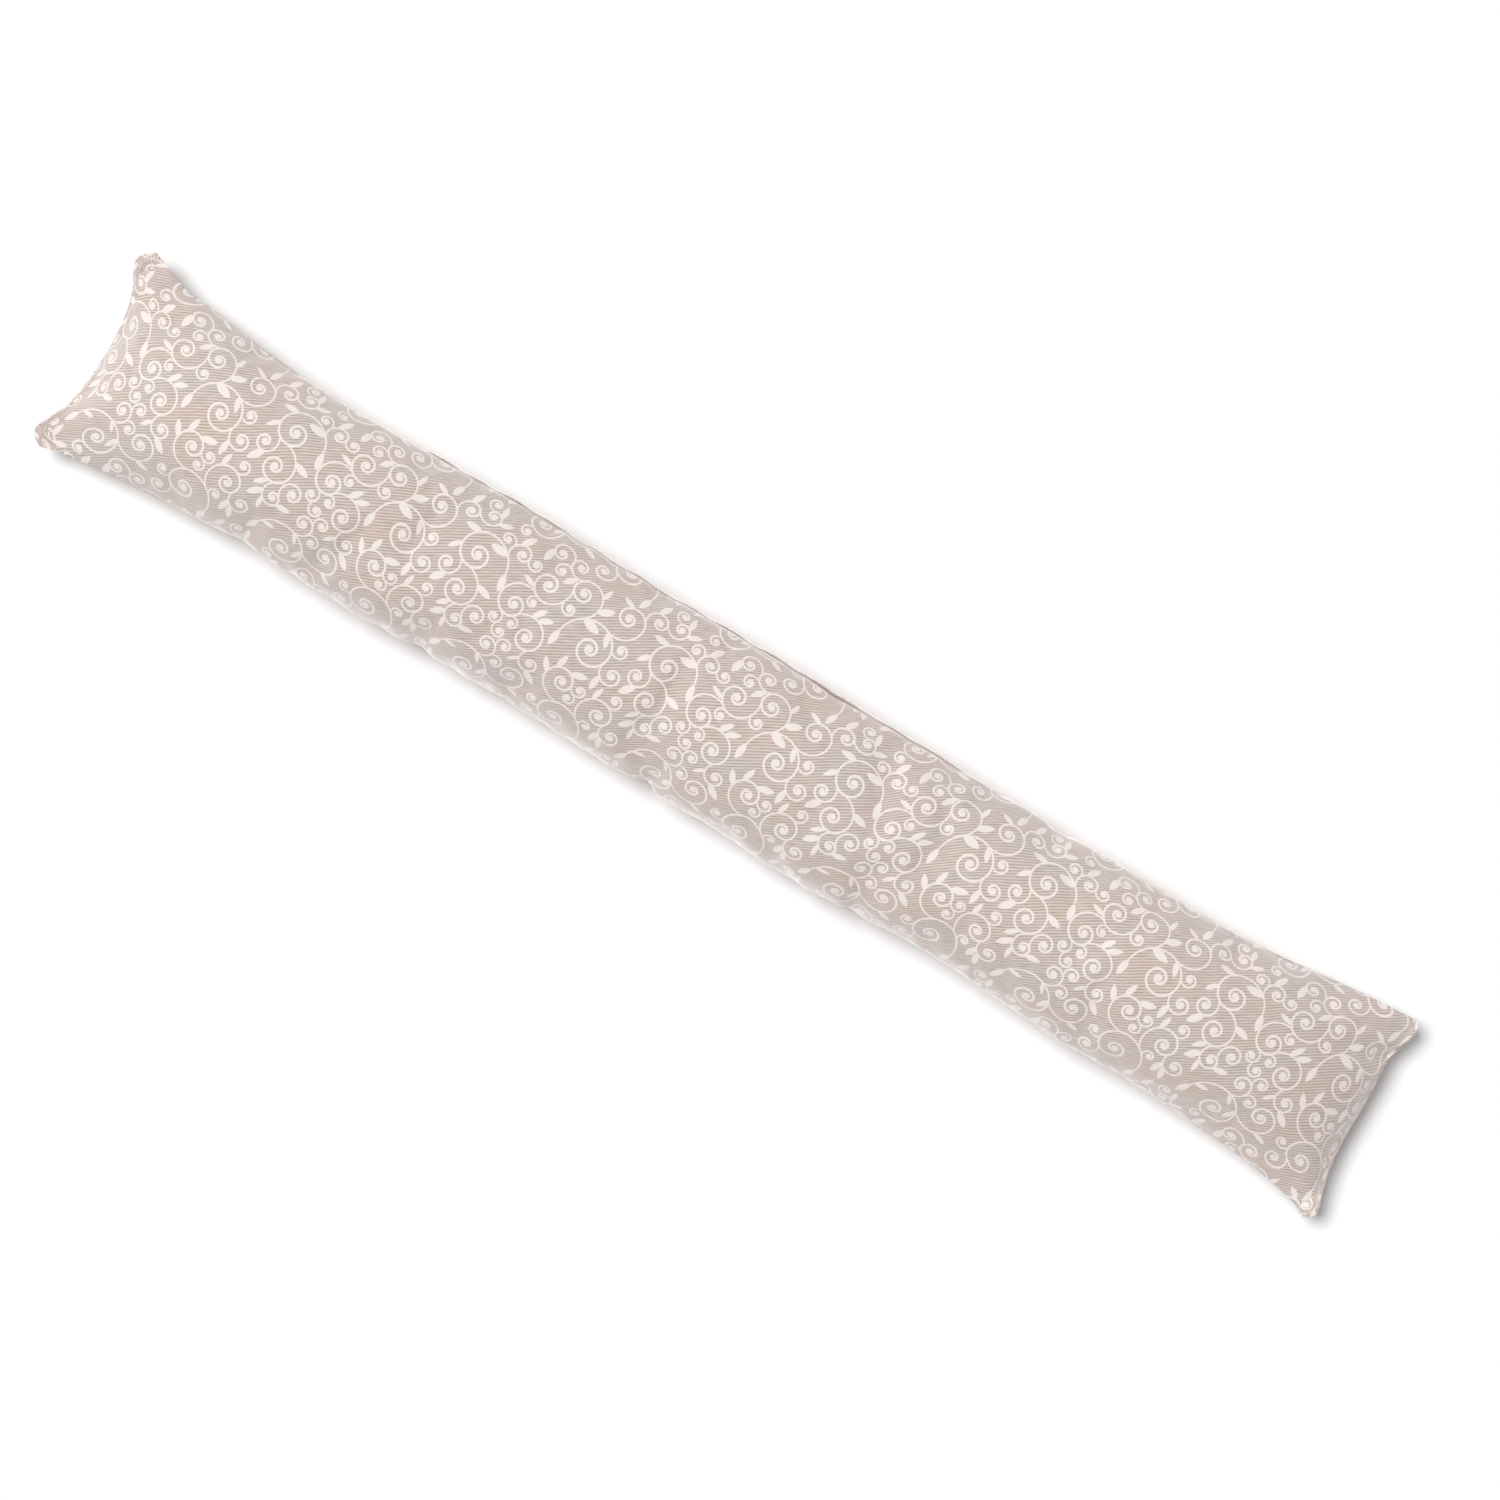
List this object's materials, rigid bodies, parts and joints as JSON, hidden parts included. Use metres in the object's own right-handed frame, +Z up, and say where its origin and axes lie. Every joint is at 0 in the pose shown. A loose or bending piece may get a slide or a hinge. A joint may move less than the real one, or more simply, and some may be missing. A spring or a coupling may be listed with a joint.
{
  "type": "draught excluder",
  "caption": "Long slim filled cushion with a patterned cloth cover, laid on the floor along the foot of a door to keep out draughts.",
  "frame": {"origin": "on the floor, under the middle of the cushion's outline", "axes": "+X along the length, +Y across it, +Z up from the floor"},
  "size_m": [0.9032, 0.1402, 0.0731],
  "materials": {
    "cover_cloth": "matt woven cloth, beige ground with an off-white scroll and leaf figure"
  },
  "bodies": {
    "root": {"filled_cover": "cover_cloth"}
  },
  "joints": []
}
